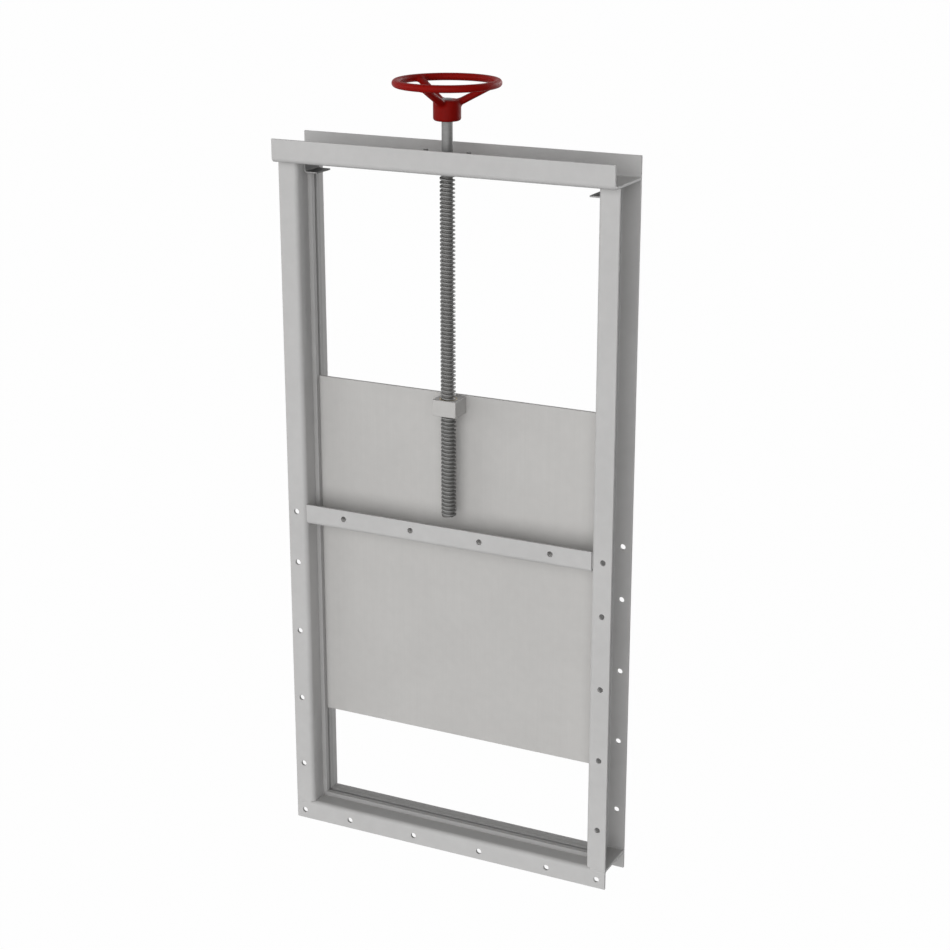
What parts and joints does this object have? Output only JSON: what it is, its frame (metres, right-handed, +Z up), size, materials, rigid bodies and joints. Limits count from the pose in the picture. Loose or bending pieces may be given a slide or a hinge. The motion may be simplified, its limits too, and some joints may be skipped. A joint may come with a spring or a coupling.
{
  "type": "duct isolation damper",
  "caption": "Slide gate for a square duct: plate blade in guides between folded steel channels, raised by a screw spindle with a handwheel.",
  "frame": {"origin": "on the outer face of the rear duct flange, in the middle of its lowest row of bolt holes", "axes": "+Z up along the spindle; +Y out of the rear flange, along the duct; the spindle and handwheel stand on the -Y side; +X to the right seen from the front"},
  "size_m": [0.68, 0.195, 1.5092],
  "materials": {
    "frame_steel": "pale grey paint, satin",
    "blade_steel": "pale grey paint, satin",
    "spindle_steel": "turned bright steel, lightly oiled",
    "housing_steel": "grey paint",
    "bronze": "turned bronze",
    "wheel_enamel": "dark red enamel on a casting"
  },
  "bodies": {
    "frame": {"left_post": "frame_steel", "right_post": "frame_steel", "bottom_channel": "frame_steel", "top_channel": "frame_steel", "front_cross_angle": "frame_steel", "rear_cross_angle": "frame_steel", "left_front_guide": "frame_steel", "left_rear_guide": "frame_steel", "right_front_guide": "frame_steel", "right_rear_guide": "frame_steel", "front_sill_bar": "frame_steel", "rear_sill_bar": "frame_steel", "left_stop_plate": "frame_steel", "right_stop_plate": "frame_steel", "thrust_housing": "housing_steel", "thrust_washer": "spindle_steel"},
    "spindle": {"spindle": "spindle_steel", "thrust_collar": "spindle_steel", "wheel_key": "spindle_steel", "handwheel": "wheel_enamel"},
    "blade": {"blade": "blade_steel", "nut_block": "blade_steel", "spindle_nut": "bronze"}
  },
  "joints": [
    {"name": "spindle_turn", "type": "hinge", "parent": "frame", "child": "spindle", "pos_m": [0, -0.08, 1.4], "axis": [0, 0, 1], "range_deg": [-9240, 18720]},
    {"name": "blade_slide", "type": "slide", "parent": "frame", "child": "blade", "axis": [0, 0, 1], "range_m": [-0.1925, 0.39]}
  ],
  "couplings": [
    {"joint": "blade_slide", "follows": "spindle_turn", "m_per_rad": 0.0011937}
  ]
}
